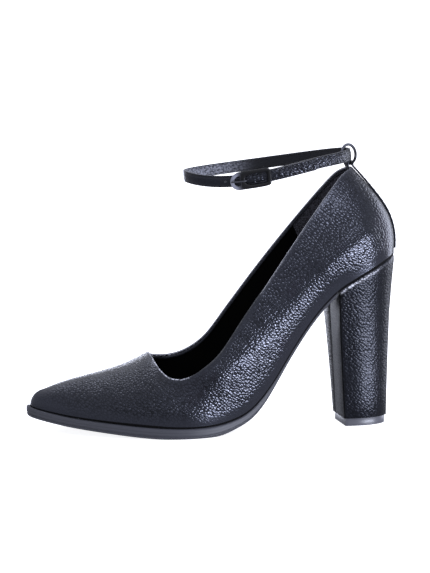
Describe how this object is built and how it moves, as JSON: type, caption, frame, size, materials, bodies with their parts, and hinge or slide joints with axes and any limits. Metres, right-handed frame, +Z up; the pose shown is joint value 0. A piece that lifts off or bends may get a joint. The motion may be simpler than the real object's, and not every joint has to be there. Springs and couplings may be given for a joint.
{
  "type": "pointed toe pump",
  "caption": "Pointed toe pump with a high covered block heel, a rubber forepart sole and an ankle strap held by a ring at the back and closed with a buckle.",
  "frame": {"origin": "on the floor, in the middle of the shoe's footprint", "axes": "+Z up, -X towards the toe, -Y towards the outer side with the buckle"},
  "size_m": [0.233, 0.076, 0.1764],
  "materials": {
    "sock": "matt sock",
    "upper_leather": "black pebbled, semi-gloss",
    "sole_rubber": "dark grey, satin",
    "heel_cover": "black pebbled, semi-gloss",
    "top_piece_rubber": "matt",
    "strap_leather": "black pebbled, semi-gloss",
    "metal": "dark grey gloss"
  },
  "bodies": {
    "root": {"insole": "sock", "upper": "upper_leather", "outsole": "sole_rubber", "heel": "heel_cover", "heel_top_piece": "top_piece_rubber", "back_strip": "strap_leather", "ring": "metal", "ankle_strap": "strap_leather", "buckle_frame": "metal", "buckle_prong": "metal"}
  },
  "joints": []
}
